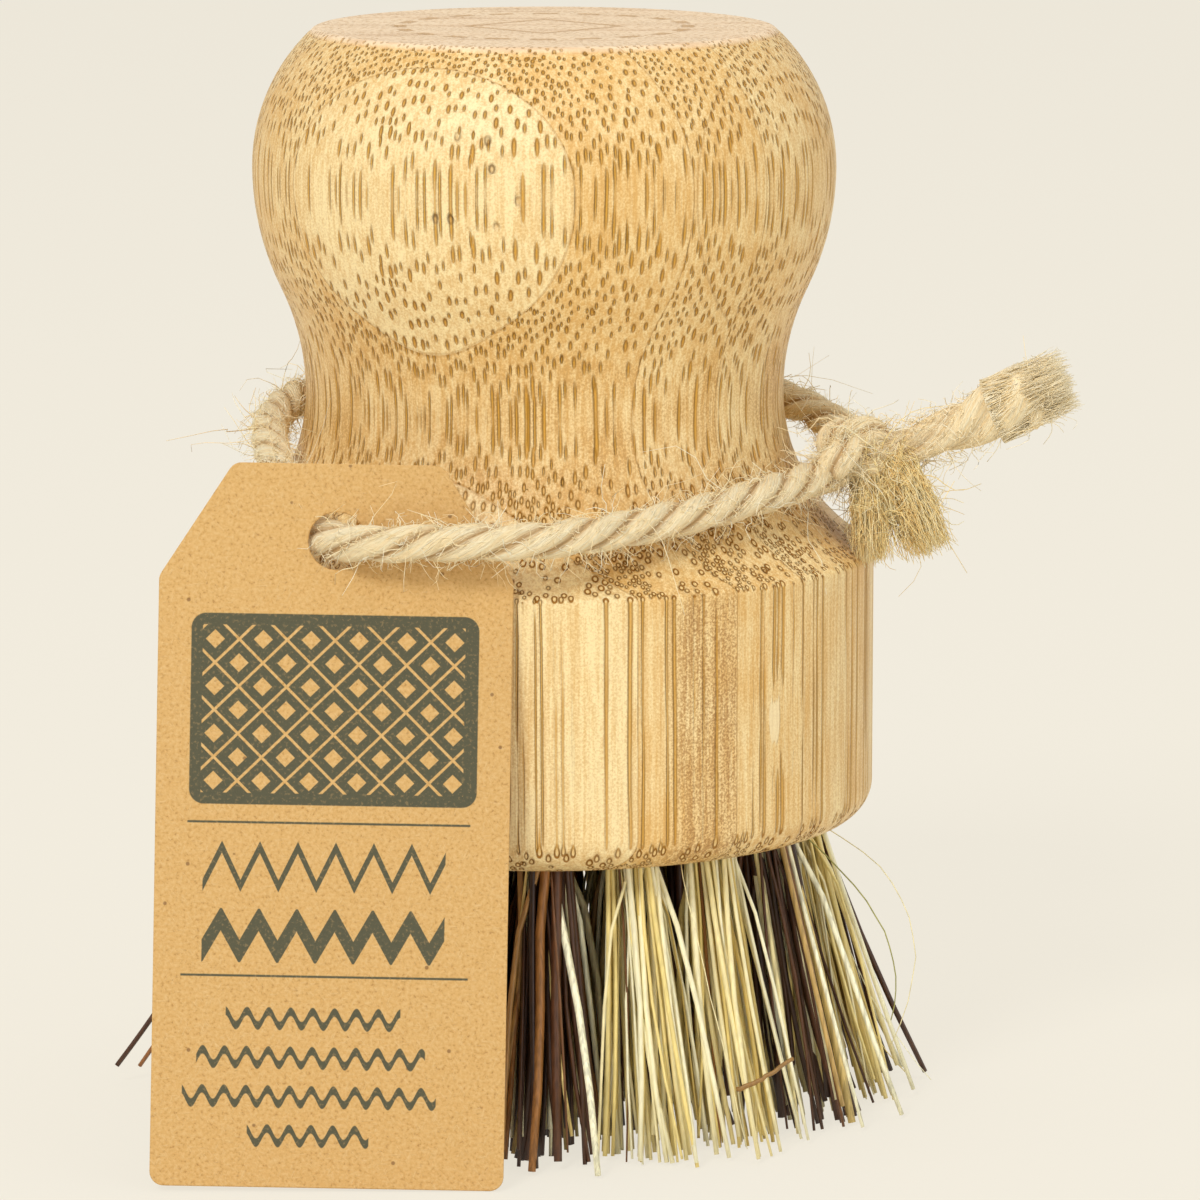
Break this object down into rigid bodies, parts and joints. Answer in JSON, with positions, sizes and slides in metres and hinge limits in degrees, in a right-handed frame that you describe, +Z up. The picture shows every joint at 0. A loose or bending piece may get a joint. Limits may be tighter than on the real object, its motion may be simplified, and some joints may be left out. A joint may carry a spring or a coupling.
{
  "type": "vegetable brush",
  "caption": "Round palm-grip scrubbing brush: turned handle of glued bamboo layers, plant fibre tufts set in blind holes, and a plain card tag on a tied jute twine.",
  "frame": {"origin": "on the turning axis of the handle, in the plane of the trimmed bristle tips that the brush stands on", "axes": "+Z up along the turning axis from the tips to the flat top of the knob, -Y towards the side where the tag hangs, +X to the right of it"},
  "size_m": [0.0838, 0.0708, 0.098],
  "materials": {
    "bamboo": "sanded bamboo with a thin oil, satin",
    "anchor_metal": "bare flat wire",
    "pale_fibre": "stiff plant fibre, slightly glossy",
    "dark_fibre": "stiff dark plant fibre",
    "jute_twine": "hairy three-ply twine",
    "kraft_card": "uncoated brown card with a dark printed panel"
  },
  "bodies": {
    "brush": {"bamboo_layer_1_knob": "bamboo", "bamboo_layer_1_skirt": "bamboo", "bamboo_layer_2": "bamboo", "bamboo_layer_3": "bamboo", "bamboo_edge_strip_knob": "bamboo", "bamboo_edge_strip_skirt": "bamboo", "bamboo_layer_4": "bamboo", "bamboo_layer_5": "bamboo", "bamboo_layer_6": "bamboo", "bamboo_layer_7": "bamboo", "bamboo_layer_8_knob": "bamboo", "bamboo_layer_8_skirt": "bamboo", "tuft_anchors": "anchor_metal", "tuft_01": "dark_fibre", "tuft_02": "pale_fibre", "tuft_03": "dark_fibre", "tuft_04": "pale_fibre", "tuft_05": "pale_fibre", "tuft_06": "dark_fibre", "tuft_07": "pale_fibre", "tuft_08": "pale_fibre", "tuft_09": "dark_fibre", "tuft_10": "pale_fibre", "tuft_11": "pale_fibre", "tuft_12": "dark_fibre", "tuft_13": "pale_fibre", "tuft_14": "pale_fibre", "tuft_15": "pale_fibre", "tuft_16": "dark_fibre", "tuft_17": "dark_fibre", "tuft_18": "dark_fibre", "tuft_19": "dark_fibre", "tuft_20": "dark_fibre", "tuft_21": "pale_fibre", "tuft_22": "pale_fibre", "tuft_23": "pale_fibre", "tuft_24": "dark_fibre", "tuft_25": "pale_fibre", "tuft_26": "pale_fibre", "tuft_27": "dark_fibre", "tuft_28": "pale_fibre", "tuft_29": "pale_fibre", "tuft_30": "dark_fibre", "tuft_31": "pale_fibre", "tuft_32": "pale_fibre", "tuft_33": "dark_fibre", "tuft_34": "pale_fibre", "tuft_35": "pale_fibre", "tuft_36": "dark_fibre", "tuft_37": "pale_fibre"},
    "twine": {"twine_loop": "jute_twine", "twine_knot": "jute_twine", "twine_long_tail": "jute_twine", "twine_short_tail": "jute_twine"},
    "hang_tag": {"hang_tag": "kraft_card"}
  },
  "joints": [
    {"name": "twine_turn", "type": "hinge", "parent": "brush", "child": "twine", "pos_m": [0, 0, 0.065], "axis": [0, 0, 1], "continuous": true},
    {"name": "tag_swing", "type": "hinge", "parent": "twine", "child": "hang_tag", "pos_m": [-0.0178, -0.0297, 0.0559], "axis": [0, 0.9877, -0.1564], "range_deg": [-25, 75]}
  ]
}
